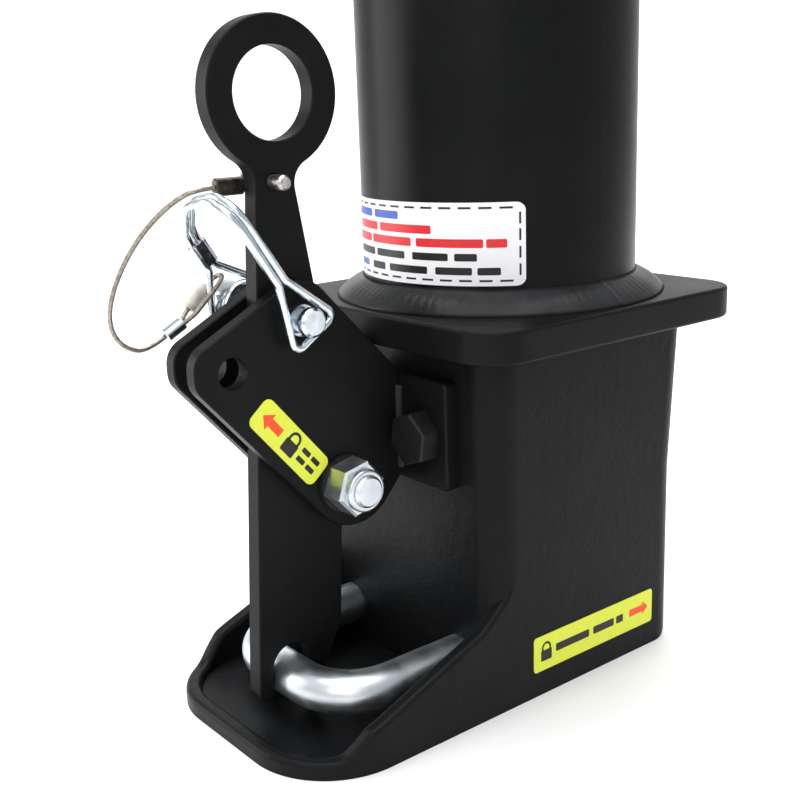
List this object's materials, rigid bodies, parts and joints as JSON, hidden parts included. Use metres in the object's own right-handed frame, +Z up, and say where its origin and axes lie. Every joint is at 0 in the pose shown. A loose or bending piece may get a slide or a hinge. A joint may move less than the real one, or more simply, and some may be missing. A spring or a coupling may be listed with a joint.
{
  "type": "gooseneck ball coupler",
  "caption": "Welded steel stem on a flanged cast socket that drops over a trailer ball, with a lever that slides a U-shaped latch bar and a tethered safety pin.",
  "frame": {"origin": "the centre of a seated ball, on the socket's axis", "axes": "+Z up the stem; -Y the latch side, with the lever and the front guard; +X one side of the body; the handle's hinge axis is +X and the latch bar opens along +Y"},
  "size_m": [0.1456, 0.2388, 0.3575],
  "materials": {
    "black_paint": "satin powder coat",
    "weld_paint": "satin powder coat over a weld bead",
    "cast_paint": "satin powder coat over a rough casting",
    "zinc_plate": "bright zinc plate",
    "black_fastener": "black oxide and paint",
    "crimp_steel": "dull dark steel",
    "wire_rope": "stranded steel wire",
    "loop_plastic": "soft plastic tube",
    "yellow_label": "printed film",
    "white_label": "printed film"
  },
  "bodies": {
    "frame": {"stem_tube": "black_paint", "flange_plate": "black_paint", "stem_weld": "weld_paint", "body_weld": "weld_paint", "coupler_body": "cast_paint", "front_guard": "cast_paint", "bracket_base": "black_paint", "base_bolts": "black_fastener", "left_ear_plate": "black_paint", "right_ear_plate": "black_paint", "ear_welds": "weld_paint", "pivot_bolt": "zinc_plate", "pivot_washers": "black_fastener", "pivot_nut": "zinc_plate", "lock_label": "yellow_label", "side_label": "yellow_label", "stem_label": "white_label"},
    "handle": {"latch_handle": "black_paint", "lanyard_anchor": "zinc_plate", "lanyard_eye": "wire_rope", "lanyard_crimp": "crimp_steel"},
    "bar": {"latch_bar": "zinc_plate"},
    "pin": {"safety_pin": "zinc_plate", "bail_wire": "zinc_plate", "bail_sleeve": "zinc_plate"},
    "tether": {"lanyard_cable": "wire_rope", "lanyard_ferrule": "zinc_plate", "lanyard_loop": "wire_rope", "loop_sleeve": "loop_plastic"}
  },
  "joints": [
    {"name": "handle_swing", "type": "hinge", "parent": "frame", "child": "handle", "pos_m": [0, -0.0935, 0.06], "axis": [1, 0, 0], "range_deg": [0, 27.5]},
    {"name": "latch_slide", "type": "slide", "parent": "frame", "child": "bar", "axis": [0, 1, 0], "range_m": [0, 0.0367]},
    {"name": "pin_turn", "type": "hinge", "parent": "frame", "child": "pin", "pos_m": [0, -0.11035, 0.1266], "axis": [1, 0, 0], "range_deg": [0, 58]},
    {"name": "tether_flex", "type": "hinge", "parent": "handle", "child": "tether", "pos_m": [0, -0.0945, 0.18714], "axis": [1, 0, 0], "range_deg": [0, 30.5], "deforming": ["lanyard_cable"]}
  ],
  "couplings": [
    {"joint": "latch_slide", "follows": "handle_swing", "m_per_rad": 0.07636},
    {"joint": "pin_turn", "follows": "handle_swing", "ratio": 2.1},
    {"joint": "tether_flex", "follows": "handle_swing", "ratio": 1.1}
  ]
}
